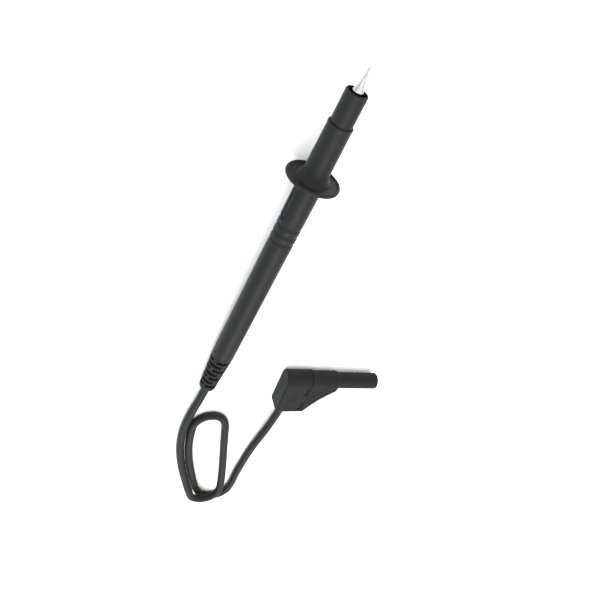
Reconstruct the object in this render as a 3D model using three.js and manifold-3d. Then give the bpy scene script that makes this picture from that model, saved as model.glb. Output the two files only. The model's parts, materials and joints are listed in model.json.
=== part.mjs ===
// Safety test lead: a hand-held needle probe with a finger guard and a spring-loaded
// guard sleeve, a limp single-core lead, and a right-angled shrouded 4 mm plug.
// Millimetres, +Z up. The probe lies on its guard rim and on its boot, the plug on its side,
// and the lead on the bench between them. The origin is under the middle of the probe.
import * as THREE from "three";
import { mergeVertices } from "three/addons/utils/BufferGeometryUtils.js";
import Module from "manifold-3d";

const wasm = await Module();
wasm.setup();

// ---------- driving dimensions ----------

const GAP = 0.3; // left between pieces that touch
const ROUND = 32; // sides of a turned piece
const ROUND_SMALL = 20; // sides of a small turned piece

// Radii of the probe.
const HANDLE_R = 4.75;
const GUARD_R = 10;
const BARREL_BACK_R = 4.65;
const BARREL_NOSE_R = 4.36;
const SLEEVE_R = 3.9;
const SLEEVE_TAIL_R = 3.2;
const SLEEVE_MOUTH_R = 3.3; // bore at the open end
const SLEEVE_TAIL_BORE_R = 2.35;
const ROD_R = 2; // the 4 mm contact rod
const LEAD_R = 1.95; // jacket of the lead
const LEAD_BORE_R = LEAD_R + GAP;
const CORE_R = 0.65; // stranded copper, 1 mm2
const BOOT_TAIL_R = 3.8;

// Stations along the probe's axis.
const BOOT_START = 1.3;
const BOOT_END = 23.3;
const BOOT_PLUG_END = 34;
const HANDLE_START = BOOT_END + GAP;
const HANDLE_END = 115;
const GUARD_START = HANDLE_END + GAP;
const GUARD_RIM = 0.65; // radius of the rounded rim
const BARREL_END = 137.6;
const SLEEVE_END = 149.1;
const SLEEVE_SHOULDER = 127;
const SLEEVE_START = 99.6;
const NEEDLE_START = 133.5;
const NEEDLE_END = 157.9;
const RECESS_START = 98.1;
const RECESS_END = 113.4;
const RECESS_WIDTH = 3;
const RECESS_FLOOR_R = 4.15;
const KEYWAY_START = 98.5;
const KEYWAY_END = 113.4;
const SPRING_SEAT = 76;
const SPRING_SEAT_LENGTH = 2.5;
const ROD_START = 55;

// Turns about the probe's axis, in degrees from +Y towards +Z.
const RECESS_TURN = 13.5;
const KEYWAY_TURN = RECESS_TURN + 180;
const BOOT_RIB_TURN = 40;

// Plug, in its own frame: +X along the pin, -Y along the lead, +Z across.
const PLUG_HALF_WIDTH = 4.8;
const PLUG_BACK = -31.5;
const PLUG_SEAM = -19;
const PLUG_NECK = -4.6;
const SHROUD_END = 16;
const SHROUD_BORE_R = 3.1;
const PLUG_BOTTOM = -18.3;
const PLUG_LEAD_X = -26.6;
const PLUG_EDGE = 0.8; // rounding of the plug's long edges
const PLUG_PIN_END = 14.6;

// Where the plug lies on the bench.
const PLUG_PLACE = new THREE.Vector3(12.3, -66, PLUG_HALF_WIDTH + 0.01);
const PLUG_YAW = 4;

// The lead's route, from the boot's rear face to the plug.
const LEAD_ROUTE = [
  [1.0, 0.0, 3.85], [-9.0, 0.3, 3.4], [-20.0, 0.9, 2.8], [-31.0, 0.8, 2.3], [-42.4, -0.8, 2.1],
  [-53.0, -3.7, 2.1], [-63.5, -7.6, 2.7], [-72.5, -11.8, 4.2], [-80.3, -15.7, 5.8], [-84.5, -18.4, 6.3],
  [-86.3, -22.4, 6.3], [-85.9, -26.7, 6.3], [-83.1, -30.1, 6.3], [-78.8, -31.6, 6.0], [-74.0, -31.4, 5.1],
  [-66.0, -29.9, 3.2], [-56.0, -27.3, 2.15], [-45.5, -24.2, 2.0], [-36.0, -21.4, 2.0], [-27.8, -18.9, 2.0],
  [-23.7, -16.3, 2.0], [-21.8, -12.5, 2.0], [-22.3, -8.3, 2.0], [-24.9, -5.1, 2.0], [-28.9, -3.5, 2.0],
  [-33.5, -3.8, 2.0], [-43.0, -5.4, 2.0], [-53.0, -8.2, 2.0], [-63.5, -12.1, 2.0], [-74.0, -16.5, 2.0],
  [-83.6, -21.2, 2.0], [-88.7, -25.6, 2.0], [-90.2, -31.0, 2.0], [-88.8, -35.7, 2.0], [-84.9, -38.7, 2.0],
  [-79.6, -39.5, 2.0], [-68.0, -39.1, 2.0], [-48.0, -39.5, 2.1], [-27.0, -41.1, 3.1], [-8.1, -40.8, 4.8],
];
const LEAD_STEPS = 80;

// ---------- materials ----------

function finish(color, roughness, metalness) {
  return new THREE.MeshStandardMaterial({ color, roughness, metalness });
}

const BLACK_PLASTIC = finish(0x2b2c2c, 0.5, 0);
const BLACK_RUBBER = finish(0x252626, 0.7, 0);
const LEAD_JACKET = finish(0x282929, 0.55, 0);
const PALE_PLASTIC = finish(0xb9b4a6, 0.5, 0);
const STEEL = finish(0xb8bcc0, 0.22, 1);
const SPRING_STEEL = finish(0x9da1a4, 0.3, 1);
const NICKEL = finish(0xc2bfb4, 0.25, 1);
const BRASS = finish(0xb5924b, 0.3, 1);
const COPPER = finish(0xb4703f, 0.35, 1);

// ---------- shape helpers ----------

// Welds a closed mesh by position, drops slivers and turns its faces outward.
function closed(geometry) {
  const bare = geometry.index ? geometry.toNonIndexed() : geometry.clone();
  bare.deleteAttribute("normal");
  bare.deleteAttribute("uv");
  const welded = mergeVertices(bare, 1e-4);
  const place = welded.attributes.position;
  const corner = [new THREE.Vector3(), new THREE.Vector3(), new THREE.Vector3()];
  const kept = [];
  let volume = 0;
  for (let i = 0; i < welded.index.count; i += 3) {
    const ids = [0, 1, 2].map((k) => welded.index.getX(i + k));
    if (ids[0] === ids[1] || ids[1] === ids[2] || ids[2] === ids[0]) continue;
    ids.forEach((id, k) => corner[k].fromBufferAttribute(place, id));
    volume += corner[0].dot(corner[1].clone().cross(corner[2]));
    kept.push(ids);
  }
  const order = volume < 0 ? kept.map(([a, b, c]) => [a, c, b]) : kept;
  welded.setIndex(order.flat());
  return welded;
}

function toSolid(geometry) {
  const welded = closed(geometry);
  return new wasm.Manifold(new wasm.Mesh({
    numProp: 3,
    vertProperties: new Float32Array(welded.attributes.position.array),
    triVerts: new Uint32Array(welded.index.array),
  }));
}

function toGeometry(solid) {
  const mesh = solid.getMesh();
  const geometry = new THREE.BufferGeometry();
  geometry.setAttribute("position", new THREE.BufferAttribute(new Float32Array(mesh.vertProperties), 3));
  geometry.setIndex(new THREE.BufferAttribute(new Uint32Array(mesh.triVerts), 1));
  return geometry;
}

function cut(geometry, ...tools) {
  return toGeometry(tools.reduce((solid, tool) => solid.subtract(toSolid(tool)), toSolid(geometry)));
}

function join(geometry, ...others) {
  return toGeometry(others.reduce((solid, other) => solid.add(toSolid(other)), toSolid(geometry)));
}

function common(geometry, other) {
  return toGeometry(toSolid(geometry).intersect(toSolid(other)));
}

// A piece turned about X from [x, radius] points: they start and end on the axis, or form a ring.
function turned(points, sides = ROUND) {
  const profile = points.map(([x, r]) => new THREE.Vector2(r, x));
  return closed(new THREE.LatheGeometry(profile, sides).rotateZ(-Math.PI / 2));
}

function rod(x0, x1, radius, sides = ROUND_SMALL) {
  return turned([[x0, 0], [x0, radius], [x1, radius], [x1, 0]], sides);
}

function tube(x0, x1, inner, outer, sides = ROUND) {
  return turned([[x0, inner], [x0, outer], [x1, outer], [x1, inner], [x0, inner]], sides);
}

function box(x0, x1, y0, y1, z0, z1) {
  const geometry = new THREE.BoxGeometry(x1 - x0, y1 - y0, z1 - z0);
  return geometry.translate((x0 + x1) / 2, (y0 + y1) / 2, (z0 + z1) / 2);
}

function turnedAbout(geometry, degrees) {
  return geometry.rotateX(THREE.MathUtils.degToRad(degrees));
}

// Part of a ring about X: between two radii, over an angle, centred on a turn from +Y towards +Z.
function arcBlock(x, width, inner, outer, turn, angle) {
  const half = THREE.MathUtils.degToRad(angle / 2);
  const shape = new THREE.Shape();
  shape.absarc(0, 0, outer, -half, half, false);
  shape.absarc(0, 0, inner, half, -half, true);
  const block = new THREE.ExtrudeGeometry(shape, { depth: width, bevelEnabled: false, curveSegments: 5 });
  // The shape's X becomes +Y and its extrusion runs along +X.
  block.applyMatrix4(new THREE.Matrix4().makeBasis(
    new THREE.Vector3(0, 1, 0), new THREE.Vector3(0, 0, 1), new THREE.Vector3(1, 0, 0)));
  block.translate(x - width / 2, 0, 0);
  return turnedAbout(block, turn);
}

// ---------- probe ----------

// Flexible boot: a tapered tail with staggered rings of arc slots, and a plug held in the handle.
function strainRelief() {
  const tail = turned([
    [BOOT_START, LEAD_BORE_R], [BOOT_START, 2.9], [BOOT_START + 0.5, 3.5], [BOOT_START + 1.4, BOOT_TAIL_R],
    [6.8, 3.85], [13, 4.2], [18, 4.5], [BOOT_END, HANDLE_R], [BOOT_END, 3.6], [BOOT_PLUG_END, 3.6],
    [BOOT_PLUG_END, LEAD_BORE_R], [BOOT_START, LEAD_BORE_R],
  ]);
  const slots = [];
  const ring = (x, turn) => {
    for (let i = 0; i < 3; i += 1) slots.push(arcBlock(x, 1.5, 2.8, 6, turn + 120 * i, 100));
  };
  for (let i = 0; i < 4; i += 1) ring(5.2 + 5.5 * i, BOOT_RIB_TURN + 60);
  for (let i = 0; i < 3; i += 1) ring(7.9 + 5.5 * i, BOOT_RIB_TURN);
  return cut(tail, ...slots);
}

// Handle shell: bored for the works, with two half-turn sets of grip grooves, a shallow recess with a
// rib outside and, across from it, the blind keyway that the sleeve's guide lug runs in.
function handle() {
  const shell = turned([
    [HANDLE_START, 3.9], [HANDLE_START, HANDLE_R], [HANDLE_END, HANDLE_R], [HANDLE_END, 3.5],
    [60, 3.5], [60, 2.9], [38, 2.9], [36, 3.9], [HANDLE_START, 3.9],
  ]);
  const grooves = [];
  for (let i = 0; i < 3; i += 1) grooves.push(arcBlock(89 + 3.5 * i, 1.5, HANDLE_R - 0.45, 6, 90, 168));
  for (let i = 0; i < 4; i += 1) grooves.push(arcBlock(87.2 + 3.5 * i, 1.5, HANDLE_R - 0.45, 6, 270, 168));
  const half = RECESS_WIDTH / 2;
  const recess = box(RECESS_START + half, RECESS_END, RECESS_FLOOR_R, 6, -half, half);
  const recessEnd = new THREE.CylinderGeometry(half, half, 2, ROUND_SMALL);
  recessEnd.translate(RECESS_START + half, RECESS_FLOOR_R + 1, 0);
  const hollow = turnedAbout(join(recess, recessEnd), RECESS_TURN);
  const keyway = turnedAbout(box(KEYWAY_START, KEYWAY_END, 2, 4.15, -1.4, 1.4), KEYWAY_TURN);
  const rib = turnedAbout(box(99.2, 112.6, 4, 4.6, -0.55, 0.55), RECESS_TURN);
  return join(cut(shell, hollow, keyway, ...grooves), rib);
}

// Finger guard and front barrel in one piece: a thin dished disc with a rounded rim, then the nose.
function frontBarrel() {
  const rim = GUARD_R - GUARD_RIM;
  const back = GUARD_START;
  return turned([
    [back, 4.2], [back, rim], [back + 0.2, rim + 0.45], [back + GUARD_RIM, GUARD_R],
    [back + 1.1, rim + 0.45], [back + 1.3, rim], [back + 0.95, rim - 1.1], [back + 0.95, 6.2],
    [back + 1.5, 5.4], [back + 2.6, 4.9], [back + 4.4, BARREL_BACK_R], [BARREL_END - 1.4, BARREL_NOSE_R],
    [BARREL_END - 0.9, BARREL_NOSE_R + 0.05], [BARREL_END - 0.2, BARREL_NOSE_R], [BARREL_END, 4.2],
    [BARREL_END, 4.05], [back + 1.2, 4.05], [back, 4.2],
  ], 40);
}

// Guard sleeve: the wide nose slides in the barrel, the narrow tail and its guide lug in the handle.
function guardSleeve() {
  const body = turned([
    [SLEEVE_START, SLEEVE_TAIL_BORE_R], [SLEEVE_START, SLEEVE_TAIL_R],
    [SLEEVE_SHOULDER, SLEEVE_TAIL_R], [SLEEVE_SHOULDER, SLEEVE_R],
    [SLEEVE_END - 0.4, SLEEVE_R], [SLEEVE_END - 0.1, SLEEVE_R - 0.12], [SLEEVE_END, SLEEVE_R - 0.3],
    [SLEEVE_END, SLEEVE_MOUTH_R], [132, SLEEVE_MOUTH_R], [130, SLEEVE_TAIL_BORE_R],
    [SLEEVE_START, SLEEVE_TAIL_BORE_R],
  ]);
  const lug = turnedAbout(box(KEYWAY_END - 4.4, KEYWAY_END - 0.4, 2.8, 3.85, -1.1, 1.1), KEYWAY_TURN);
  return join(body, lug);
}

// Needle tip: a 4 mm shank that flares down to a slender ground point.
function needle() {
  const flareStart = 149.4;
  const flareEnd = 153.4;
  const neck = 0.72;
  const shank = ROD_R - 0.06;
  const points = [[NEEDLE_START, 0], [NEEDLE_START, 1.2], [NEEDLE_START + 4, 1.2], [NEEDLE_START + 4, shank]];
  for (let i = 0; i <= 6; i += 1) {
    const turn = (Math.PI / 2) * (i / 6);
    const x = flareStart + (flareEnd - flareStart) * Math.sin(turn);
    points.push([x, neck + (shank - neck) * (1 - Math.sin(turn)) ** 1.3]);
  }
  points.push([NEEDLE_END - 0.5, 0.26], [NEEDLE_END - 0.12, 0.16], [NEEDLE_END, 0]);
  return turned(points, 24);
}

// Contact rod: brass, socketed at the front for the needle's spigot and at the back for the core.
function contactRod() {
  const front = NEEDLE_START + 4 - GAP;
  return turned([
    [ROD_START, CORE_R + 0.35], [ROD_START, ROD_R], [front, ROD_R], [front, 1.5],
    [NEEDLE_START - GAP, 1.5], [NEEDLE_START - GAP, 0], [ROD_START + 10, 0],
    [ROD_START + 10, CORE_R + 0.35], [ROD_START, CORE_R + 0.35],
  ], 24);
}

// Return spring: round wire from the seat to the sleeve's tail.
function returnSpring() {
  const wireR = 0.28;
  const coilR = 2.72;
  const coils = 8;
  const steps = coils * 12;
  const start = SPRING_SEAT + GAP + wireR;
  const length = SLEEVE_START - GAP - wireR - start;
  const path = new THREE.CatmullRomCurve3(Array.from({ length: steps + 1 }, (_, i) => {
    const turn = (i / steps) * coils * 2 * Math.PI;
    return new THREE.Vector3(start + (length * i) / steps, coilR * Math.cos(turn), coilR * Math.sin(turn));
  }));
  const wire = new THREE.Shape().absarc(0, 0, wireR, 0, 2 * Math.PI, false);
  return closed(new THREE.ExtrudeGeometry(wire, {
    steps, curveSegments: 3, bevelEnabled: false, extrudePath: path,
  }));
}

function probePieces() {
  const seatStart = SPRING_SEAT - SPRING_SEAT_LENGTH;
  return [
    ["strain_relief", strainRelief(), BLACK_RUBBER],
    ["handle", handle(), BLACK_PLASTIC],
    ["front_barrel", frontBarrel(), BLACK_PLASTIC],
    ["guard_sleeve", guardSleeve(), BLACK_PLASTIC],
    ["needle_tip", needle(), STEEL],
    ["contact_rod", contactRod(), BRASS],
    ["return_spring", returnSpring(), SPRING_STEEL],
    ["spring_seat", tube(seatStart, SPRING_SEAT, ROD_R + GAP, 3.2), NICKEL],
    ["rod_carrier", tube(61, seatStart - GAP, ROD_R + GAP, 3.2), PALE_PLASTIC],
    ["rod_collar", tube(57.5, 59.5, ROD_R + GAP, 2.6, ROUND_SMALL), NICKEL],
    ["crimp_ferrule", tube(50, ROD_START - GAP, CORE_R + GAP, 1.5, ROUND_SMALL), NICKEL],
    ["probe_core", rod(36.3, 63, CORE_R, 12), COPPER],
    ["probe_lead_end", rod(BOOT_START, 36, LEAD_R, 16), LEAD_JACKET],
    ["lead_anchor_ring", tube(BOOT_PLUG_END + GAP, 35.7, LEAD_BORE_R, 3.5, ROUND_SMALL), NICKEL],
  ];
}

// ---------- plug ----------

// The outline across the pin: a half round on top, straight sides, rounded corners at the lead's end.
function plugSection(inset, bottom) {
  const half = PLUG_HALF_WIDTH - inset;
  const corner = 1.2;
  const shape = new THREE.Shape();
  shape.moveTo(half, 0);
  shape.absarc(0, 0, half, 0, Math.PI, false);
  shape.lineTo(-half, bottom + corner);
  shape.absarc(-half + corner, bottom + corner, corner, Math.PI, 1.5 * Math.PI, false);
  shape.lineTo(half - corner, bottom);
  shape.absarc(half - corner, bottom + corner, corner, 1.5 * Math.PI, 2 * Math.PI, false);
  return shape;
}

// Extrudes a section along +X: the section's X lies along -Z and its Y along +Y.
function alongPin(shape, x0, x1, edge = 0) {
  const solid = new THREE.ExtrudeGeometry(shape, {
    depth: x1 - x0 - 2 * edge,
    curveSegments: 10,
    bevelEnabled: edge > 0,
    bevelThickness: edge,
    bevelSize: edge,
    bevelOffset: 0,
    bevelSegments: 2,
  });
  solid.rotateY(Math.PI / 2);
  return solid.translate(x0 + edge, 0, 0);
}

// Side view of the front housing: it narrows from the lead's end up to the shroud.
function frontProfile() {
  const shape = new THREE.Shape();
  shape.moveTo(PLUG_SEAM - 1, PLUG_BOTTOM - 1);
  shape.lineTo(-16.9, PLUG_BOTTOM - 1);
  shape.lineTo(-16.6, PLUG_BOTTOM + 0.4);
  shape.lineTo(-13.8, -11.8);
  shape.lineTo(PLUG_NECK + 0.1, -3.3);
  shape.lineTo(PLUG_NECK + 0.1, 3.8);
  shape.lineTo(PLUG_NECK - 1.5, 6);
  shape.lineTo(PLUG_SEAM - 1, 6);
  const depth = 3 * PLUG_HALF_WIDTH;
  const solid = new THREE.ExtrudeGeometry(shape, { depth, bevelEnabled: false });
  return solid.translate(0, 0, -depth / 2);
}

function plugBody() {
  return alongPin(plugSection(PLUG_EDGE, PLUG_BOTTOM + PLUG_EDGE), PLUG_BACK, 0, PLUG_EDGE);
}

// L-shaped latch window beside the seam, through the rear cover's side wall.
function latchWindow(y, side) {
  const z0 = side > 0 ? 2.8 : -6;
  const leg = box(-20.6, -20.0, y - 4.6, y, z0, z0 + 3.2);
  const foot = box(-22.2, -20.1, y - 4.6, y - 3.9, z0, z0 + 3.2);
  return join(leg, foot);
}

function plugRearCover() {
  const seam = PLUG_SEAM - GAP / 2;
  const block = common(plugBody(), box(PLUG_BACK - 1, seam, -30, 10, -10, 10));
  const cavity = box(PLUG_BACK + 1.6, seam + 1, PLUG_BOTTOM + 1.8, 2.6, -3.3, 3.3);
  const leadHole = rod(0, 6, LEAD_BORE_R).rotateZ(-Math.PI / 2).translate(PLUG_LEAD_X, PLUG_BOTTOM + 3, 0);
  const windows = [];
  for (const side of [1, -1]) windows.push(latchWindow(-0.9, side), latchWindow(-11.3, side));
  return cut(block, cavity, leadHole, ...windows);
}

// Front housing: the wedge, the shroud round the pin, and a spigot that enters the rear cover.
function plugFrontHousing() {
  const seam = PLUG_SEAM + GAP / 2;
  const keep = common(frontProfile(), box(seam, 1, -30, 10, -10, 10));
  const wedge = common(plugBody(), keep);
  const shroud = turned([
    [PLUG_NECK - 1, 0], [PLUG_NECK - 1, SLEEVE_R], [SHROUD_END - 0.5, SLEEVE_R],
    [SHROUD_END - 0.15, SLEEVE_R - 0.15], [SHROUD_END, SLEEVE_R - 0.4], [SHROUD_END, 0],
  ]);
  const spigot = box(PLUG_SEAM - 2.5, seam + 1, -15.5, 2.2, -2.9, 2.9);
  const hollow = box(PLUG_SEAM - 3, PLUG_SEAM + 1.5, -14.4, 1.2, -1.9, 1.9);
  const pinBore = rod(PLUG_SEAM - 4, 0, ROD_R + GAP, ROUND);
  const mouth = rod(-1.5, SHROUD_END + 1, SHROUD_BORE_R, ROUND);
  return cut(join(wedge, shroud, spigot), hollow, pinBore, mouth);
}

// Contact pin with its rear terminal block, waisted under the contact spring.
function plugPin() {
  const waist = 1.3;
  const pin = turned([
    [-24, 0], [-24, ROD_R], [2, ROD_R], [2.4, waist], [12.2, waist], [12.6, ROD_R - 0.05],
    [PLUG_PIN_END - 0.9, ROD_R - 0.05], [PLUG_PIN_END - 0.2, 1.2], [PLUG_PIN_END, 0],
  ], 24);
  const block = box(-29.3, -23.6, -4, 1.8, -2.8, 2.8);
  const coreHole = rod(0, 4, CORE_R + GAP, 16).rotateZ(-Math.PI / 2).translate(PLUG_LEAD_X, -1, 0);
  const screwHole = rod(0, 4, 1.5, 16).rotateY(-Math.PI / 2).translate(PLUG_LEAD_X, -2.4, 0.9);
  return cut(join(pin, block), coreHole, screwHole);
}

// Contact spring: a slotted basket bulging round the pin's waist.
function contactSpring() {
  const shell = turned([
    [2.8, 1.62], [2.8, 1.84], [5, 2.06], [7.3, 2.16], [9.6, 2.06], [11.8, 1.84],
    [11.8, 1.62], [9.6, 1.84], [7.3, 1.94], [5, 1.84], [2.8, 1.62],
  ], 24);
  const slots = [];
  for (let i = 0; i < 6; i += 1) slots.push(turnedAbout(box(4, 10.6, 1, 3, -0.16, 0.16), 60 * i));
  return cut(shell, ...slots);
}

function leadUpright(piece, y) {
  return piece.rotateZ(Math.PI / 2).translate(PLUG_LEAD_X, y, 0);
}

// Clamp bar that holds the jacket inside the rear cover, with its two screws' holes.
function cableClamp() {
  const bar = box(-29.4, -23.8, -13.6, -10.4, GAP, 3);
  const saddle = leadUpright(rod(-2, 6, LEAD_BORE_R), -14);
  return cut(bar, saddle);
}

function plugPieces() {
  const jacketTop = -8.5;
  const core = rod(0, jacketTop + 11.7, CORE_R, 12);
  return [
    ["plug_rear_cover", plugRearCover(), BLACK_PLASTIC],
    ["plug_front_housing", plugFrontHousing(), BLACK_PLASTIC],
    ["plug_pin", plugPin(), NICKEL],
    ["plug_contact_spring", contactSpring(), BRASS],
    ["plug_terminal_screw", rod(0, 1.9, 1.2, 16).rotateY(-Math.PI / 2).translate(PLUG_LEAD_X, -2.4, 1), STEEL],
    ["plug_lead_end", leadUpright(rod(0, jacketTop - PLUG_BOTTOM, LEAD_R, 16), PLUG_BOTTOM), LEAD_JACKET],
    ["plug_core", leadUpright(core, jacketTop + GAP), COPPER],
    ["plug_cable_clamp", cableClamp(), PALE_PLASTIC],
  ];
}

// ---------- assembly ----------

function addPieces(group, pieces) {
  for (const [name, geometry, material] of pieces) {
    const mesh = new THREE.Mesh(geometry, material);
    mesh.name = name;
    group.add(mesh);
  }
  return group;
}

// The lead as a plain tube along its route.
function leadTube() {
  const route = new THREE.CatmullRomCurve3(LEAD_ROUTE.map((p) => new THREE.Vector3(...p)));
  const section = new THREE.Shape().absarc(0, 0, LEAD_R, 0, 2 * Math.PI, false);
  return closed(new THREE.ExtrudeGeometry(section, {
    steps: LEAD_STEPS, curveSegments: 4, bevelEnabled: false, extrudePath: route,
  }));
}

// The axis rises from the boot's tail to the guard's rim, and both rest on the bench.
const rise = Math.asin((GUARD_R - BOOT_TAIL_R) / (GUARD_START + GUARD_RIM - BOOT_START - 1.4));
const probe = addPieces(new THREE.Group(), probePieces());
probe.rotation.y = -rise;
probe.updateMatrixWorld(true);
const span = new THREE.Box3().setFromObject(probe, true);
probe.position.z = -span.min.z;

const plug = addPieces(new THREE.Group(), plugPieces());
plug.rotation.z = THREE.MathUtils.degToRad(PLUG_YAW - 90);
plug.position.copy(PLUG_PLACE);

const lead = addPieces(new THREE.Group(), [["lead", leadTube(), LEAD_JACKET]]);

const testLead = new THREE.Group();
testLead.add(probe, lead, plug);
testLead.position.x = -(span.min.x + span.max.x) / 2;

export default testLead;
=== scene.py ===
"""Needle probe test lead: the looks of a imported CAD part.

Every piece is built in its own frame in millimetres and placed by a matrix into the row frame:
the probe's pieces are turned about the probe's axis, the plug's are meshed from distance fields,
and the lead is swept along its route.
"""
import json
import math

import bmesh
import bpy
import numpy as np
from mathutils import Matrix, Vector


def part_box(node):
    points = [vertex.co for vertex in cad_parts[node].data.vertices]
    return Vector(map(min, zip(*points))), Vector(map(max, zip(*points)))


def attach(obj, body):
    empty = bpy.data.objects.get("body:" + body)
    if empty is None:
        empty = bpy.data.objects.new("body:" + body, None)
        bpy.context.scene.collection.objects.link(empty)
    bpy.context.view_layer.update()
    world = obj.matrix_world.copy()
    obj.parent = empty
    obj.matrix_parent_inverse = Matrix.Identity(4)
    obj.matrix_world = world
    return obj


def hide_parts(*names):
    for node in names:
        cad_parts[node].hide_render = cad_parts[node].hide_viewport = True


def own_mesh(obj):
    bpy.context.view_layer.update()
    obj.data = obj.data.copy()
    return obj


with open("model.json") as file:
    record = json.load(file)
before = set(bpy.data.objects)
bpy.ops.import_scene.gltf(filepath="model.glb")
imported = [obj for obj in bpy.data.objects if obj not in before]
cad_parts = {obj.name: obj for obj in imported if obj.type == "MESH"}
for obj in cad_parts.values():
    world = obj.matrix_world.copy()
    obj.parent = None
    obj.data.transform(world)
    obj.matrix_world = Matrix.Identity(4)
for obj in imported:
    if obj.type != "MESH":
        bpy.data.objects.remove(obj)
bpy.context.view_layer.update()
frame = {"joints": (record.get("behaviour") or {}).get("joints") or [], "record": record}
mounts = {mount["name"]: mount for mount in frame["record"]["mounts"]}

MM = 0.001
SIDES = 128
INNER_SIDES = 64
INNER_EDGE = 0.15  # radius on the edges of the small turned pieces

# ---------- frames ----------

# The probe: X along its axis towards the needle, from the boot's rear face.
CORE_MIDDLE = 49.65  # station of the middle of the bare core, which lies on the axis
slide = frame["joints"][0]
probe_axis = -Vector(slide["axis"]).normalized()
probe_across = Vector((0, 1, 0))
probe_up = probe_axis.cross(probe_across)
core_low, core_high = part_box("probe_core")
probe_origin = (core_low + core_high) / 2 - probe_axis * CORE_MIDDLE * MM

# The plug: X along its pin, -Y along the lead, Z across.
SHROUD_END = 16.0
SHROUD_MOUNT_R = 3.3  # how far the mouth's mount lies from the pin's axis
SHROUD_MOUNT_TURN = math.pi / 32
plug_axis = Vector(mounts["shroud_mouth"]["axis"]).normalized()
plug_across = Vector((0, 0, 1))
plug_away = plug_across.cross(plug_axis)
mount_offset = plug_away * math.cos(SHROUD_MOUNT_TURN) + plug_across * math.sin(SHROUD_MOUNT_TURN)
mouth_point = Vector(mounts["shroud_mouth"]["pos_m"])
plug_origin = mouth_point - (plug_axis * SHROUD_END + mount_offset * SHROUD_MOUNT_R) * MM


def place_matrix(origin, x, y, z):
    """From a piece's own millimetres, along the axes x, y and z, to the row frame."""
    turn = Matrix((x, y, z)).transposed().to_4x4()
    return Matrix.Translation(origin) @ turn @ Matrix.Scale(MM, 4)


PROBE = place_matrix(probe_origin, probe_axis, probe_across, probe_up)
PLUG = place_matrix(plug_origin, plug_axis, plug_away, plug_across)
BENCH = Matrix.Scale(MM, 4)


def aimed(place, target):
    """A matrix at a place, looking at a target."""
    look = (target - place).to_track_quat("-Z", "Y").to_matrix().to_4x4()
    return Matrix.Translation(place) @ look


# ---------- camera ----------

CAMERA_PLACE = Vector((0.13005, 0.0971, 0.1858))
CAMERA_TARGET = Vector((-0.02522, -0.02475, 0))
CAMERA_ROLL = math.radians(159.12)
LENS = 39.0


def make_camera():
    data = bpy.data.cameras.new("camera")
    data.lens = LENS
    data.sensor_width = 36
    data.clip_start = 0.01
    data.clip_end = 10
    camera = bpy.data.objects.new("camera", data)
    roll = Matrix.Rotation(CAMERA_ROLL, 4, "Z")
    camera.matrix_world = aimed(CAMERA_PLACE, CAMERA_TARGET) @ roll
    bpy.context.scene.collection.objects.link(camera)
    bpy.context.scene.camera = camera


# ---------- mesh helpers ----------


def new_mesh(name, points, faces, place, uv=None, normals=None, sharp=40):
    """An object from points and faces in its own millimetres, with its faces turned outward."""
    mesh = bpy.data.meshes.new(name)
    mesh.from_pydata([tuple(p) for p in points], [], [tuple(f) for f in faces])
    if uv is not None:
        layer = mesh.uv_layers.new(name="UVMap")
        flat = [value for face in uv for corner in face for value in corner]
        layer.data.foreach_set("uv", flat)
    mesh.transform(place)
    piece = bpy.data.objects.new(name, mesh)
    bpy.context.scene.collection.objects.link(piece)
    build = bmesh.new()
    build.from_mesh(mesh)
    if build.calc_volume(signed=True) < 0:
        bmesh.ops.reverse_faces(build, faces=build.faces)
        build.to_mesh(mesh)
    build.free()
    mesh.shade_smooth()
    if normals is None:
        mesh.set_sharp_from_angle(angle=math.radians(sharp))
        weighted = piece.modifiers.new("even shading", "WEIGHTED_NORMAL")
        weighted.keep_sharp = True
    else:
        turn = place.to_3x3().normalized()
        mesh.normals_split_custom_set_from_vertices([turn @ Vector(n) for n in normals])
    return piece


def rounded(profile, steps=5):
    """A profile of (x, r) or (x, r, radius) points, with an arc in place of a corner."""
    out = []
    count = len(profile)
    for i, point in enumerate(profile):
        here = Vector(point[:2])
        radius = point[2] if len(point) > 2 else 0
        if radius <= 0:
            out.append(here)
            continue
        before = (Vector(profile[i - 1][:2]) - here).normalized()
        after = (Vector(profile[(i + 1) % count][:2]) - here).normalized()
        half = before.angle(after) / 2
        reach = radius / math.tan(half)
        middle = here + (before + after).normalized() * (radius / math.sin(half))
        first = here + before * reach - middle
        last = here + after * reach - middle
        sweep = first.angle_signed(last)
        for k in range(steps + 1):
            out.append(middle + Matrix.Rotation(-sweep * k / steps, 2) @ first)
    return [(p.x, p.y) for p in out]


def subdivided(profile, step, x0, x1):
    """The profile with its long stretches between stations x0 and x1 divided to a step."""
    out = []
    count = len(profile)
    for i, (x, r) in enumerate(profile):
        out.append((x, r))
        nx, nr = profile[(i + 1) % count]
        if i + 1 < count and min(x, nx) < x1 and max(x, nx) > x0 and abs(nx - x) > step:
            parts = math.ceil(abs(nx - x) / step)
            cuts = [x + (nx - x) * k / parts for k in range(1, parts)]
            out += [(c, r + (nr - r) * (c - x) / (nx - x)) for c in cuts if x0 <= c <= x1]
    return out


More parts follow.
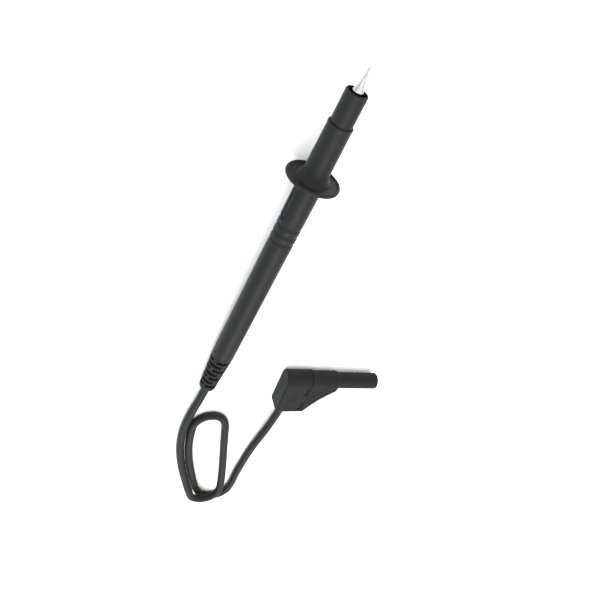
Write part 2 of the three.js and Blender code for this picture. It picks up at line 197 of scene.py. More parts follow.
def turned(name, profile, place, sides=SIDES, carve=None, sharp=40):
    """A piece turned about X from (x, r) points, closed on the axis or as a ring.

    carve(x, turn, radius) gives how far a point is moved in, at a turn in degrees from +Y towards +Z.
    """
    solid = profile[0][1] < 1e-6
    rows = profile[1:-1] if solid else profile
    xs = np.array([p[0] for p in rows])
    rs = np.array([p[1] for p in rows])
    turns = np.arange(sides) * 2 * math.pi / sides
    radius = np.repeat(rs[:, None], sides, 1)
    if carve is not None:
        radius = radius - carve(xs[:, None], np.degrees(turns)[None, :], radius)
    columns = [np.repeat(xs[:, None], sides, 1), radius * np.cos(turns), radius * np.sin(turns)]
    points = np.stack(columns, -1).reshape(-1, 3).tolist()
    count = len(rows)
    along = np.concatenate([[0], np.cumsum(np.hypot(np.diff(xs), np.diff(rs)))])
    faces, uv = [], []
    for i in range(count if not solid else count - 1):
        j = (i + 1) % count
        for k in range(sides):
            m = (k + 1) % sides
            faces.append((i * sides + k, i * sides + m, j * sides + m, j * sides + k))
            u0, u1, v0, v1 = k / sides, (k + 1) / sides, along[i], along[j]
            uv.append(((u0, v0), (u1, v0), (u1, v1), (u0, v1)))
    if solid:
        for end, row in ((profile[0], 0), (profile[-1], count - 1)):
            tip = len(points)
            points.append((end[0], 0, 0))
            for k in range(sides):
                m = (k + 1) % sides
                ring = (row * sides + k, row * sides + m)
                faces.append((tip, ring[1], ring[0]) if row == 0 else (tip, ring[0], ring[1]))
                uv.append(((0.5, along[row]), (0, along[row]), (1, along[row])))
    return new_mesh(name, points, faces, place, uv, sharp=sharp)


def tube(name, x0, x1, inner, outer, place):
    profile = rounded([
        (x0, inner, INNER_EDGE / 2), (x0, outer, INNER_EDGE), (x1, outer, INNER_EDGE),
        (x1, inner, INNER_EDGE / 2),
    ], 3)
    return turned(name, profile, place, INNER_SIDES)


def rod(name, x0, x1, radius, place):
    profile = rounded([(x0, 0), (x0, radius, INNER_EDGE), (x1, radius, INNER_EDGE), (x1, 0)], 3)
    return turned(name, profile, place, INNER_SIDES)


def catmull(points, per_span):
    """The centripetal Catmull-Rom curve through the points, as the CAD solid follows it."""
    p = np.array(points, float)
    p = np.vstack([2 * p[0] - p[1], p, 2 * p[-1] - p[-2]])
    out = []
    for i in range(1, len(p) - 2):
        a, b, c, d = p[i - 1:i + 3]
        t0 = 0.0
        t1 = t0 + math.sqrt(np.linalg.norm(b - a))
        t2 = t1 + math.sqrt(np.linalg.norm(c - b))
        t3 = t2 + math.sqrt(np.linalg.norm(d - c))
        for t in np.linspace(t1, t2, per_span, endpoint=False):
            e = (t1 - t) / (t1 - t0) * a + (t - t0) / (t1 - t0) * b
            f = (t2 - t) / (t2 - t1) * b + (t - t1) / (t2 - t1) * c
            g = (t3 - t) / (t3 - t2) * c + (t - t2) / (t3 - t2) * d
            h = (t2 - t) / (t2 - t0) * e + (t - t0) / (t2 - t0) * f
            k = (t3 - t) / (t3 - t1) * f + (t - t1) / (t3 - t1) * g
            out.append((t2 - t) / (t2 - t1) * h + (t - t1) / (t2 - t1) * k)
    out.append(p[-2])
    return np.array(out)


def swept(name, line, radius, place, sides=32):
    """A closed round tube along a line of points, carried without twist, with UVs along it."""
    line = np.asarray(line, float)
    ahead = np.gradient(line, axis=0)
    ahead /= np.linalg.norm(ahead, axis=1)[:, None]
    side = np.cross(ahead[0], (0.3, 0.2, 0.93))
    side /= np.linalg.norm(side)
    points = []
    turns = np.arange(sides) * 2 * math.pi / sides
    for middle, direction in zip(line, ahead):
        side = side - direction * (side @ direction)
        side /= np.linalg.norm(side)
        up = np.cross(direction, side)
        ring = middle + radius * (np.cos(turns)[:, None] * side + np.sin(turns)[:, None] * up)
        points += ring.tolist()
    along = np.concatenate([[0], np.cumsum(np.linalg.norm(np.diff(line, axis=0), axis=1))])
    faces, uv = [], []
    for i in range(len(line) - 1):
        for k in range(sides):
            m = (k + 1) % sides
            faces.append((i * sides + k, i * sides + m, (i + 1) * sides + m, (i + 1) * sides + k))
            u0, u1, v0, v1 = k / sides, (k + 1) / sides, along[i], along[i + 1]
            uv.append(((u0, v0), (u1, v0), (u1, v1), (u0, v1)))
    for start, turn in ((0, -1), ((len(line) - 1) * sides, 1)):
        cap = [start + k for k in range(sides)][::turn]
        faces.append(tuple(cap))
        uv.append(tuple((0.5, along[-1] if turn > 0 else 0.0) for _ in cap))
    return new_mesh(name, points, faces, place, uv)


# ---------- distance fields ----------


def meet(a, b, radius):
    """Where both fields hold, with a convex edge rounded to a radius."""
    corner = np.hypot(np.maximum(a + radius, 0), np.maximum(b + radius, 0))
    return np.minimum(-radius, np.maximum(a, b)) + corner


def either(a, b, radius):
    """Where one of the fields holds, with the inner corner filled to a radius."""
    return -meet(-a, -b, radius)


def without(a, b, radius):
    """The first field less the second, with the edge rounded to a radius."""
    return meet(a, -b, radius)


def block(p, low, high, radius):
    """A box with rounded edges."""
    middle = (np.array(low) + np.array(high)) / 2
    half = (np.array(high) - np.array(low)) / 2 - radius
    away = np.abs(p - middle) - half
    outside = np.linalg.norm(np.maximum(away, 0), axis=-1)
    return outside + np.minimum(away.max(axis=-1), 0) - radius


def gradient(field, p, step=0.02):
    out = np.empty_like(p)
    for axis in range(3):
        shift = np.zeros(3)
        shift[axis] = step
        out[:, axis] = (field(p + shift) - field(p - shift)) / (2 * step)
    return out


def meshed(name, field, low, high, cell, place):
    """The closed surface of a field: one point in every cell that it crosses, drawn onto it."""
    low = np.array(low, float)
    count = np.ceil((np.array(high) - low) / cell).astype(int) + 1
    axes = [low[i] + cell * np.arange(count[i]) for i in range(3)]
    corners = np.stack(np.meshgrid(*axes, indexing="ij"), -1)
    value = field(corners.reshape(-1, 3)).reshape(count)
    total = np.zeros((*count, 3))
    hits = np.zeros(count)
    crossings = []
    for axis in range(3):
        ahead = np.roll(value, -1, axis)
        crossed = (value < 0) != (ahead < 0)
        crossed[tuple(-1 if i == axis else slice(None) for i in range(3))] = False
        at = np.argwhere(crossed)
        before = value[crossed]
        share = before / (before - ahead[crossed])
        spot = at.astype(float)
        spot[:, axis] += share
        others = [i for i in range(3) if i != axis]
        ring = []
        for a, b in ((0, 0), (1, 0), (1, 1), (0, 1)):
            cells = at.copy()
            cells[:, others[0]] -= a
            cells[:, others[1]] -= b
            np.add.at(total, tuple(cells.T), spot)
            np.add.at(hits, tuple(cells.T), 1)
            ring.append(cells)
        outward = (before < 0) == (axis != 1)
        crossings.append((ring, outward))
    index = -np.ones(count, int)
    used = hits > 0
    index[used] = np.arange(used.sum())
    points = low + cell * total[used] / hits[used][:, None]
    for _ in range(4):
        slope = gradient(field, points)
        steep = np.maximum((slope ** 2).sum(1), 0.25)
        step = slope * (field(points) / steep)[:, None]
        points -= np.clip(step, -cell / 2, cell / 2)
    faces = []
    for ring, outward in crossings:
        quads = np.stack([index[tuple(cells.T)] for cells in ring], 1)
        quads[~outward] = quads[~outward][:, ::-1]
        faces += quads.tolist()
    normals = gradient(field, points)
    normals /= np.maximum(np.linalg.norm(normals, axis=1), 1e-9)[:, None]
    return new_mesh(name, points, faces, place, normals=normals)


# ---------- materials ----------


class Shader:
    """A node tree in the making, with short calls for the nodes that the materials share."""

    def __init__(self, name):
        self.material = bpy.data.materials.new(name)
        self.material.use_nodes = True
        self.tree = self.material.node_tree
        self.surface = self.tree.nodes["Principled BSDF"]

    def node(self, kind, **settings):
        made = self.tree.nodes.new(kind)
        for key, value in settings.items():
            setattr(made, key, value)
        return made

    def link(self, source, target):
        self.tree.links.new(source, target)

    def coordinates(self, kind="Object", stretch=(1, 1, 1)):
        mapping = self.node("ShaderNodeMapping")
        mapping.inputs["Scale"].default_value = stretch
        self.link(self.node("ShaderNodeTexCoord").outputs[kind], mapping.inputs["Vector"])
        return mapping.outputs["Vector"]

    def noise(self, where, scale, detail=4, roughness=0.55):
        noise = self.node("ShaderNodeTexNoise")
        noise.inputs["Scale"].default_value = scale
        noise.inputs["Detail"].default_value = detail
        noise.inputs["Roughness"].default_value = roughness
        self.link(where, noise.inputs["Vector"])
        return noise.outputs["Fac"]

    def ranged(self, source, low, high, from_low=0.25, from_high=0.75):
        ranged = self.node("ShaderNodeMapRange")
        ranged.inputs["From Min"].default_value = from_low
        ranged.inputs["From Max"].default_value = from_high
        ranged.inputs["To Min"].default_value = low
        ranged.inputs["To Max"].default_value = high
        self.link(source, ranged.inputs["Value"])
        return ranged.outputs["Result"]

    def colours(self, source, first, second):
        ramp = self.node("ShaderNodeValToRGB")
        ramp.color_ramp.elements[0].position = 0.3
        ramp.color_ramp.elements[1].position = 0.7
        ramp.color_ramp.elements[0].color = (*first, 1)
        ramp.color_ramp.elements[1].color = (*second, 1)
        self.link(source, ramp.inputs["Fac"])
        self.link(ramp.outputs["Color"], self.surface.inputs["Base Color"])

    def bump(self, source, depth, normal=None):
        bump = self.node("ShaderNodeBump")
        bump.inputs["Strength"].default_value = 1
        bump.inputs["Distance"].default_value = depth
        self.link(source, bump.inputs["Height"])
        if normal is not None:
            self.link(normal, bump.inputs["Normal"])
        return bump.outputs["Normal"]


def moulded_plastic(name, shade, rough, grain, level=0.1):
    """Moulded plastic: a spark-eroded grain, a faint mottle and slow changes of gloss."""
    shader = Shader(name)
    where = shader.coordinates()
    mottle = shader.noise(where, 260, 5)
    shader.colours(mottle, [0.9 * c for c in shade], [1.1 * c for c in shade])
    gloss = shader.noise(where, 900, 3)
    gloss = shader.ranged(gloss, rough - 0.05, rough + 0.06)
    shader.link(gloss, shader.surface.inputs["Roughness"])
    fine = shader.bump(shader.noise(where, 7000, 3, 0.6), grain)
    shader.link(shader.bump(mottle, 4 * grain, fine), shader.surface.inputs["Normal"])
    shader.surface.inputs["IOR"].default_value = 1.45
    shader.surface.inputs["Specular IOR Level"].default_value = level
    return shader.material


def lead_silicone(name):
    """The lead's jacket: satin, with faint streaks along it from the extrusion."""
    shader = Shader(name)
    where = shader.coordinates("UV", (60, 0.4, 1))
    streaks = shader.noise(where, 1, 3)
    cloud = shader.noise(shader.coordinates(), 300, 4)
    shader.colours(cloud, (0.01, 0.01, 0.0101), (0.0115, 0.0115, 0.0116))
    shader.link(shader.ranged(streaks, 0.36, 0.46), shader.surface.inputs["Roughness"])
    fine = shader.bump(shader.noise(shader.coordinates(), 5000, 3), 0.000004)
    shader.link(shader.bump(streaks, 0.00001, fine), shader.surface.inputs["Normal"])
    shader.surface.inputs["IOR"].default_value = 1.43
    shader.surface.inputs["Specular IOR Level"].default_value = 0.11
    return shader.material


def metal(name, first, second, rough, lines=160.0, depth=0.000002):
    """Metal with fine lines round it from turning or drawing, and a slow change of tint."""
    shader = Shader(name)
    shader.surface.inputs["Metallic"].default_value = 1
    shader.colours(shader.noise(shader.coordinates(), 700, 3), first, second)
    around = shader.noise(shader.coordinates("UV", (1, lines, 1)), 0.2, 2)
    shader.link(shader.ranged(around, rough * 0.8, rough * 1.3), shader.surface.inputs["Roughness"])
    shader.link(shader.bump(around, depth), shader.surface.inputs["Normal"])
    return shader.material


def stranded_copper(name):
    """Bare strands: bright and dark bands laid at a slant round the core; the dark bands are painted
    shade in the valleys between the strands.
    """
    shader = Shader(name)
    shader.surface.inputs["Metallic"].default_value = 1
    shader.surface.inputs["Roughness"].default_value = 0.3
    wave = shader.node("ShaderNodeTexWave", wave_type="BANDS", bands_direction="DIAGONAL")
    wave.inputs["Scale"].default_value = 1
    shader.link(shader.coordinates("UV", (12, 0.9, 0)), wave.inputs["Vector"])
    # painted shade: the colour darkens where the wave's bump is low, in the valleys between the strands
    shader.colours(wave.outputs["Fac"], (0.42, 0.16, 0.07), (0.82, 0.43, 0.26))
    shader.link(shader.bump(wave.outputs["Fac"], 0.00006), shader.surface.inputs["Normal"])
    return shader.material


def floor_paper(name):
    shader = Shader(name)
    speck = shader.noise(shader.coordinates(), 400, 3)
    shader.colours(speck, (0.86, 0.86, 0.865), (0.88, 0.88, 0.885))
    shader.surface.inputs["Roughness"].default_value = 0.9
    return shader.material


PROBE_PLASTIC = moulded_plastic("probe_plastic", (0.0115, 0.0115, 0.0116), 0.42, 0.000005)
PLUG_PLASTIC = moulded_plastic("plug_plastic", (0.0125, 0.0125, 0.0126), 0.5, 0.000003, 0.06)
BOOT_RUBBER = moulded_plastic("boot_rubber", (0.0115, 0.0115, 0.0116), 0.46, 0.000007, 0.12)
CARRIER_PLASTIC = moulded_plastic("carrier_plastic", (0.46, 0.43, 0.37), 0.42, 0.000004)
LEAD_JACKET = lead_silicone("lead_jacket")
NEEDLE_STEEL = metal("needle_steel", (0.3, 0.31, 0.33), (0.38, 0.38, 0.385), 0.12)
SPRING_STEEL = metal("spring_steel", (0.5, 0.51, 0.53), (0.6, 0.6, 0.62), 0.3)
NICKEL = metal("nickel", (0.62, 0.6, 0.55), (0.72, 0.7, 0.64), 0.22)
BRASS = metal("brass", (0.6, 0.43, 0.18), (0.72, 0.53, 0.26), 0.25)
COPPER = stranded_copper("copper")


def dressed(piece, material, body, slot, *nodes):
    """Gives a piece its material, its body and the CAD nodes that it replaces."""
    piece.data.materials.append(material)
    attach(piece, body)
    if nodes:
        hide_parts(*nodes)


# ---------- lead ----------

LEAD_R = 1.95
LEAD_BORE_R = LEAD_R + 0.03
CORE_R = 0.65
LEAD_RUN_ON = 0.9  # how far the jacket's ends run on into the boot and the plug
# The lead's route in metres, as its solid runs, with X from the probe's own zero.
LEAD_ROUTE = [
    (0.001, 0.0, 0.00385), (-0.009, 0.0003, 0.0034), (-0.02, 0.0009, 0.0028),
    (-0.031, 0.0008, 0.0023), (-0.0424, -0.0008, 0.0021), (-0.053, -0.0037, 0.0021),
    (-0.0635, -0.0076, 0.0027), (-0.0725, -0.0118, 0.0042), (-0.0803, -0.0157, 0.0058),
    (-0.0845, -0.0184, 0.0063), (-0.0863, -0.0224, 0.0063), (-0.0859, -0.0267, 0.0063),
    (-0.0831, -0.0301, 0.0063), (-0.0788, -0.0316, 0.006), (-0.074, -0.0314, 0.0051),
    (-0.066, -0.0299, 0.0032), (-0.056, -0.0273, 0.00215), (-0.0455, -0.0242, 0.002),
    (-0.036, -0.0214, 0.002), (-0.0278, -0.0189, 0.002), (-0.0237, -0.0163, 0.002),
    (-0.0218, -0.0125, 0.002), (-0.0223, -0.0083, 0.002), (-0.0249, -0.0051, 0.002),
    (-0.0289, -0.0035, 0.002), (-0.0335, -0.0038, 0.002), (-0.043, -0.0054, 0.002),
    (-0.053, -0.0082, 0.002), (-0.0635, -0.0121, 0.002), (-0.074, -0.0165, 0.002),
    (-0.0836, -0.0212, 0.002), (-0.0887, -0.0256, 0.002), (-0.0902, -0.031, 0.002),
    (-0.0888, -0.0357, 0.002), (-0.0849, -0.0387, 0.002), (-0.0796, -0.0395, 0.002),
    (-0.068, -0.0391, 0.002), (-0.048, -0.0395, 0.0021), (-0.027, -0.0411, 0.0031),
    (-0.0081, -0.0408, 0.0048),
]


def make_lead():
    """The lead, from just inside the boot to just inside the plug."""
    shift = np.array([probe_origin.x, 0, 0])
    route = [np.array(p) + shift for p in LEAD_ROUTE]
    line = catmull(route, 12)
    into_plug = line[-1] + LEAD_RUN_ON * MM * np.array(plug_away)
    into_boot = line[0] + LEAD_RUN_ON * MM * np.array(probe_axis)
    line = np.vstack([into_boot, line, into_plug])
    length = float(np.linalg.norm(np.diff(line, axis=0), axis=1).sum())
    lead = swept("lead_jacket_tube", line / MM, LEAD_R, BENCH)
    dressed(lead, LEAD_JACKET, "body", "lead_jacket", "lead")
    return lead, line, length


# ---------- probe ----------

HANDLE_R = 4.75
HANDLE_BORE_R = 3.5
BOOT_START = 1.3
BOOT_PLUG_R = 3.6
BOOT_PLUG_END = 34
BOOT_RINGS = ((5.2, 4, 100), (7.9, 3, 40))  # first station, number of rings, turn of a slot
BOOT_RING_STEP = 5.5
BOOT_FLOOR_R = 2.35
SEAM = 23.45  # between the boot and the handle
SEAM_HALF = 0.03
GRIP_SETS = ((89.0, 3, 90), (87.2, 4, 270))  # first station, number of grooves, turn of the middle
GRIP_STEP = 3.5
GRIP_DEPTH = 0.4
MOULD_MARK = (26.1, 18)  # station and turn
HANDLE_END = 115.0
GUARD_START = 115.05
GUARD_R = 10
BARREL_END = 137.6
BARREL_LIP_R = 4.46
SLEEVE_R = 3.9
SLEEVE_END = 149.1
TAIL_START = 99.6
TAIL_END = 127
TAIL_R = 3.2
TAIL_BORE_R = 2.35
NEEDLE_END = 157.9
RECESS_START = 98.1
RECESS_END = 113.4
RECESS_HALF = 1.5
RECESS_TURN = 13.5
RECESS_DEPTH = 0.6
RIB_MIDDLE = 105.9
RIB_HALF = 6.2
RIB_RISE = 0.5
KEYWAY_TURN = RECESS_TURN + 180
KEYWAY_MIDDLE = 105.95
KEYWAY_HALF = 7.45
KEYWAY_DEPTH = 0.65


def smooth(value, low, high):
    """0 below low and 1 above high, with a smooth step between."""
    share = np.clip((value - low) / (high - low), 0, 1)
    return share * share * (3 - 2 * share)


def turn_apart(turn, middle):
    """How far a turn is from another, in degrees."""
    return np.abs((turn - middle + 180) % 360 - 180)


def boot_slots(x, turn, radius):
    """Staggered rings of three arc slots, cut to just above the lead."""
    depth = np.zeros(np.broadcast(x, turn).shape)
    for first, number, middle in BOOT_RINGS:
        for i in range(number):
            station = first + BOOT_RING_STEP * i
            across = 1 - smooth(np.abs(x - station), 0.6, 0.95)
            for third in range(3):
                apart = turn_apart(turn, middle + 120 * third)
                round_end = 1 - smooth(apart, 46.5, 51)
                depth = np.maximum(depth, across * round_end)
    return depth * np.maximum(radius - BOOT_FLOOR_R, 0) * (radius > 3)


def make_boot():
    profile = rounded([
        (BOOT_START, LEAD_BORE_R, 0.15), (BOOT_START, 3.8, 1.45), (6.8, 3.85), (13, 4.2),
        (18, 4.5), (SEAM - SEAM_HALF, HANDLE_R, 0.12), (SEAM - SEAM_HALF, BOOT_PLUG_R, 0.2),
        (BOOT_PLUG_END, BOOT_PLUG_R, 0.3), (BOOT_PLUG_END, LEAD_BORE_R, 0.1),
    ], 6)
    profile = subdivided(profile, 0.13, 3.4, 23.3)
    boot = turned("boot", profile, PROBE, 300, boot_slots, sharp=60)
    dressed(boot, BOOT_RUBBER, "body", "boot_rubber", "strain_relief")


def handle_marks(x, turn, radius):
    """What is cut into the handle: grip grooves, a mould mark, a ribbed recess and the keyway."""
    depth = np.zeros(np.broadcast(x, turn).shape)
    for first, number, middle in GRIP_SETS:
        within = 1 - smooth(turn_apart(turn, middle), 77, 86)
        for i in range(number):
            away = x - first - GRIP_STEP * i
            depth = np.maximum(depth, GRIP_DEPTH * np.exp(-((away / 0.55) ** 2)) * within)
    station, middle = MOULD_MARK
    mark = (1 - smooth(np.abs(x - station), 0.2, 0.5)) * (1 - smooth(turn_apart(turn, middle), 6, 10))
    depth = np.maximum(depth, 0.3 * mark)
    across = np.radians((turn - RECESS_TURN + 180) % 360 - 180) * HANDLE_R
    behind = np.minimum(x - RECESS_START - RECESS_HALF, 0)
    edge = np.maximum(np.hypot(behind, across), np.abs(across)) - RECESS_HALF
    edge = np.maximum(edge, x - RECESS_END)
    recess = RECESS_DEPTH * (1 - smooth(edge, -0.3, 0.05))
    beyond = np.maximum(np.abs(x - RIB_MIDDLE) - RIB_HALF, 0)
    rib = RIB_RISE * (1 - smooth(np.hypot(across, beyond), 0.25, 0.75))
    depth = np.maximum(depth, recess - np.minimum(rib, recess))
    in_keyway = (turn_apart(turn, KEYWAY_TURN) < 22) * (np.abs(x - KEYWAY_MIDDLE) < KEYWAY_HALF)
    on_bore = (radius > HANDLE_BORE_R - 0.05) * (radius < HANDLE_BORE_R + 0.05)
    return np.where(radius > 4.2, depth, -KEYWAY_DEPTH * in_keyway * on_bore)


def make_handle():
    profile = rounded([
        (SEAM + SEAM_HALF, 3.9, 0.1), (SEAM + SEAM_HALF, HANDLE_R, 0.12), (HANDLE_END, HANDLE_R, 0.15),
        (HANDLE_END, HANDLE_BORE_R, 0.15), (60, HANDLE_BORE_R, 0.2), (60, 2.9, 0.1), (38, 2.9, 0.1),
        (36, 3.9, 0.2),
    ], 4)
    profile = subdivided(profile, 0.17, 85.4, 114.2)
    profile = subdivided(profile, 0.14, 25.2, 27)
    profile = subdivided(profile, 4, 28, 114)
    handle = turned("handle_shell", profile, PROBE, 180, handle_marks, sharp=60)
    dressed(handle, PROBE_PLASTIC, "body", "probe_plastic", "handle")


def make_front_barrel():
    """Thin dished finger guard with a rounded rim, a collar and the tapering barrel."""
    back = GUARD_START
    profile = rounded([
        (back, 4.05, 0.1), (back, 9.3, 0.5), (back + 0.25, GUARD_R, 0.55),
        (back + 1.45, GUARD_R, 0.55), (back + 1.5, 9.1, 0.25), (back + 1.0, 8.7, 0.5),
        (back + 1.0, 6.6, 0.25), (back + 1.75, 6.1, 0.45), (back + 2.5, 5.35, 0.45),
        (back + 2.9, 4.85, 0.5), (back + 4.2, 4.64, 1.5), (136.1, 4.38, 0.5),
        (136.7, BARREL_LIP_R, 0.3), (BARREL_END, BARREL_LIP_R, 0.22), (BARREL_END, 4.0, 0.1),
    ], 6)
    front_barrel = turned("finger_guard_barrel", profile, PROBE, SIDES, sharp=60)
    dressed(front_barrel, PROBE_PLASTIC, "body", "probe_plastic", "front_barrel")


def make_guard_sleeve():
    """Sleeve round the needle, with a narrow tail in the handle and a guide lug in its keyway."""
    sleeve = turned("needle_guard_sleeve", rounded([
        (TAIL_START, TAIL_BORE_R, 0.1), (TAIL_START, TAIL_R, 0.2), (TAIL_END, TAIL_R, 0.2),
        (TAIL_END, SLEEVE_R, 0.3), (SLEEVE_END, SLEEVE_R, 0.45), (SLEEVE_END, 3.3, 0.2),
        (132, 3.3, 0.3), (130, TAIL_BORE_R, 0.3),
    ], 5), PROBE, 96)
    lug_place = PROBE @ Matrix.Rotation(math.radians(KEYWAY_TURN), 4, "X")

    def lug_field(p):
        return block(p, (109.1, 2.6, -1.1), (112.9, 3.85, 1.1), 0.2)

    lug = meshed("sleeve_lug", lug_field, (108.7, 2.2, -1.5), (113.3, 4.3, 1.5), 0.12, lug_place)
    dressed(sleeve, PROBE_PLASTIC, "sleeve", "probe_plastic", "guard_sleeve")
    dressed(lug, PROBE_PLASTIC, "sleeve", "probe_plastic")


def make_needle():
    """Flared steel needle: a hollow curve from the shank to a slender neck, and a ground point."""
    shank, neck, flare, waist = 1.94, 0.74, 149.2, 153.2
    steps = 24
    curve = []
    for k in range(steps + 1):
        share = math.sin(math.pi / 2 * k / steps)
        curve.append((flare + (waist - flare) * share, neck + (shank - neck) * (1 - share) ** 1.3))
    point = [(155.2, 0.52), (156.8, 0.34), (157.6, 0.2), (NEEDLE_END - 0.08, 0.09), (NEEDLE_END, 0)]
    spigot = [(133.5, 0), (133.5, 1.2), (137.5, 1.2), (137.5, shank - 0.1), (137.6, shank)]
    needle = turned("needle", [*spigot, *curve, *point], PROBE, 96, sharp=50)
    dressed(needle, NEEDLE_STEEL, "body", "needle_steel", "needle_tip")


def make_return_spring():
    """Round wire, closer at its ends, from its seat to the sleeve's tail."""
    wire, coil, start, end, coils = 0.28, 2.72, 76.6, 99.0, 9
    closing = -0.09
    steps = coils * 28
    line = []
    for k in range(steps + 1):
        share = k / steps
        advance = share + math.sin(2 * math.pi * share) * closing
        angle = share * coils * 2 * math.pi
        line.append((start + (end - start) * advance, coil * math.cos(angle), coil * math.sin(angle)))
    spring = swept("return_spring_wire", line, wire, PROBE, 12)
    dressed(spring, SPRING_STEEL, "body", "spring_steel", "return_spring")
    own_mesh(spring)


def make_probe_inside():
    contact_rod = turned("rod", rounded([
        (55, 1.0, 0.1), (55, 2, 0.2), (137.2, 2, 0.15), (137.2, 1.5, 0.05), (133.2, 1.5),
        (133.2, 0.8), (65, 0.8), (65, 1.0),
    ], 3), PROBE, INNER_SIDES)
    dressed(contact_rod, BRASS, "body", "brass", "contact_rod")
    seat = tube("seat_ring", 73.5, 76, 2.3, 3.2, PROBE)
    dressed(seat, NICKEL, "body", "nickel", "spring_seat")
    carrier = tube("carrier", 61, 73.2, 2.3, 3.2, PROBE)
    dressed(carrier, CARRIER_PLASTIC, "body", "carrier_plastic", "rod_carrier")
    collar = tube("collar", 57.5, 59.5, 2.3, 2.6, PROBE)
    dressed(collar, NICKEL, "body", "nickel", "rod_collar")
    ferrule = tube("ferrule", 50, 54.7, 0.95, 1.5, PROBE)
    dressed(ferrule, NICKEL, "body", "nickel", "crimp_ferrule")
    core = rod("core_in_probe", 36.3, 63, CORE_R, PROBE)
    dressed(core, COPPER, "body", "copper", "probe_core")
    lead_end = rod("lead_in_probe", 2.6, 36, LEAD_R, PROBE)
    dressed(lead_end, LEAD_JACKET, "body", "lead_jacket", "probe_lead_end")
    anchor = tube("anchor_ring", 34.3, 35.7, 2.25, 3.5, PROBE)
    dressed(anchor, NICKEL, "body", "nickel", "lead_anchor_ring")


# ---------- plug ----------

PLUG_HALF = 4.8
PLUG_BACK = -31.5
PLUG_SEAM = -19.0
PLUG_NECK = -4.6
PLUG_BOTTOM = -18.3
PLUG_LEAD_X = -26.6
SCREW_Y = -2.4
CELL = 0.2  # the size of a cell in which the plug's larger pieces are meshed
SEAM_GAP = 0.1
SHROUD_BORE_R = 3.1
PIN_BORE_R = 2.3
BASKET_MIDDLE = 7.3
SLOPE_NORMAL = (0.671, -0.742)
SLOPE_POINT = (-13.8, -11.7)
TOE_NORMAL = (0.91, -0.415)
TOE_POINT = (-16.9, -18.3)


def plug_section(p):
    """Across the pin: half round on top, flat sides below."""
    return np.where(p[:, 1] > 0, np.hypot(p[:, 1], p[:, 2]), np.abs(p[:, 2])) - PLUG_HALF


def beyond_line(p, point, normal):
    """How far past a line through a point, seen across the plug's flat side."""
    return (p[:, 0] - point[0]) * normal[0] + (p[:, 1] - point[1]) * normal[1]


def round_lead(p, radius):
    """How far outside a cylinder of a radius round the lead's axis."""
    return np.hypot(p[:, 0] - PLUG_LEAD_X, p[:, 2]) - radius


def latch_windows(p):
    """L-shaped windows beside the seam, on both sides, kept near the surface."""
    mirrored = np.stack([p[:, 0], p[:, 1], np.abs(p[:, 2])], 1)
    found = np.full(len(p), 1e3)
    for top in (-0.9, -11.1):
        leg = block(mirrored, (-20.25, top - 4.6, 3.9), (-19.85, top, 6), 0.1)
        foot = block(mirrored, (-21.7, top - 4.7, 3.9), (-19.9, top - 3.95, 6), 0.1)
        found = np.minimum(found, np.minimum(leg, foot))
    return found


def oval_ring(p):
    """A plain oval line on the cover's flat sides: distance from the ring's middle line."""
    turn = math.radians(35)
    x, y = p[:, 0] + 26.0, p[:, 1] + 8.2
    a = (x * math.cos(turn) + y * math.sin(turn)) / 1.75
    b = (-x * math.sin(turn) + y * math.cos(turn)) / 1.2
    ring = np.abs(np.hypot(a, b) - 1) * 1.45
    return np.hypot(ring, np.maximum(np.abs(p[:, 2]) - PLUG_HALF, 0))


def rear_cover_field(p):
    section = plug_section(p)
    body = meet(section, PLUG_BACK - p[:, 0], 0.9)
    body = meet(body, PLUG_BOTTOM - p[:, 1], 1.1)
    body = meet(body, p[:, 0] - (PLUG_SEAM - SEAM_GAP), 0.16)
    ring = oval_ring(p)
    groove = 0.22 * np.exp(-((ring / 0.22) ** 2)) * (np.abs(p[:, 2]) > 3.5)
    body = body + groove
    cavity = block(p, (PLUG_BACK + 1.7, PLUG_BOTTOM + 1.8, -3.3), (PLUG_SEAM + 2, 2.6, 3.3), 0.5)
    lead_hole = np.maximum(round_lead(p, LEAD_BORE_R), p[:, 1] + 12)
    body = np.maximum(body, -cavity)
    body = without(body, lead_hole, 0.12)
    return without(body, latch_windows(p), 0.08)


def grip_ridges(p):
    """Three raised ridges round the neck, two of which turn and run back beside the slope."""
    x, y = p[:, 0], p[:, 1]
    slope = beyond_line(p, SLOPE_POINT, SLOPE_NORMAL)
    height = np.zeros(len(p))
    ridges = [(-11.6, 0, True), (-9.2, -4.9, False), (-6.6, -2.1, False)]
    for station, inset, short in ridges:
        upright = x - station
        if short:
            path = np.hypot(upright, np.maximum(0.6 - y, 0))
        else:
            path = np.abs(meet(upright, slope - inset, 3.0))
            path = np.hypot(path, np.maximum(-16.6 - x, 0))
        rise = np.exp(-((path / 0.42) ** 2))
        height = np.maximum(height, rise)
    fade = 1 - smooth(y, 1.8, 3.9)
    return 0.34 * height * fade * (np.abs(p[:, 2]) > 0.5)


def latch_relief(p):
    """A faint L-shaped step ahead of the seam."""
    x, y = p[:, 0], p[:, 1]
    leg = np.hypot(x + 14.6, np.maximum(np.abs(y + 1.3) - 1.2, 0))
    foot = np.hypot(np.maximum(np.abs(x + 15.6) - 1.0, 0), y + 3.0)
    path = np.minimum(leg, foot)
    return 0.12 * np.exp(-((path / 0.25) ** 2)) * (np.abs(p[:, 2]) > 3)


